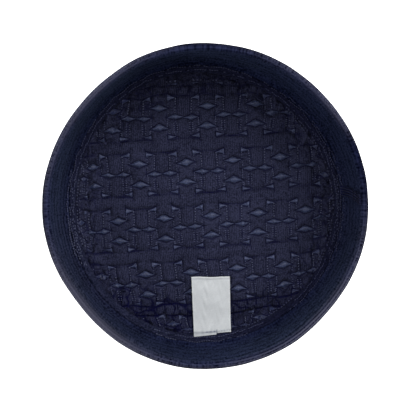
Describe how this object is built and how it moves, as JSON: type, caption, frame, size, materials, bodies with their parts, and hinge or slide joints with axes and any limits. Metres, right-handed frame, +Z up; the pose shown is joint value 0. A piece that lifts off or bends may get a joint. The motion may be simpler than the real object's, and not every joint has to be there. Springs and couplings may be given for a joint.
{
  "type": "kufi",
  "caption": "Round brimless knitted cap with a quilted crown panel, a smooth band with a rolled rim, and a plain woven label inside.",
  "frame": {"origin": "on the surface that the cap lies on, below the middle of the cap, which is the bottom centre of its box", "axes": "+Z up through the opening, which faces up; the label is towards -Y; the joint of the band's two ends is towards +X"},
  "size_m": [0.191, 0.191, 0.076],
  "materials": {
    "navy_quilted": "matte embroidered cotton",
    "navy_knit": "soft jersey with a faint sheen",
    "navy_tape": "stitched cotton tape",
    "navy_overlock": "zigzag overlock thread",
    "white_satin": "woven satin"
  },
  "bodies": {
    "root": {"crown": "navy_quilted", "band": "navy_knit", "seam_tape": "navy_tape", "band_joint": "navy_overlock", "label": "white_satin"}
  },
  "joints": []
}
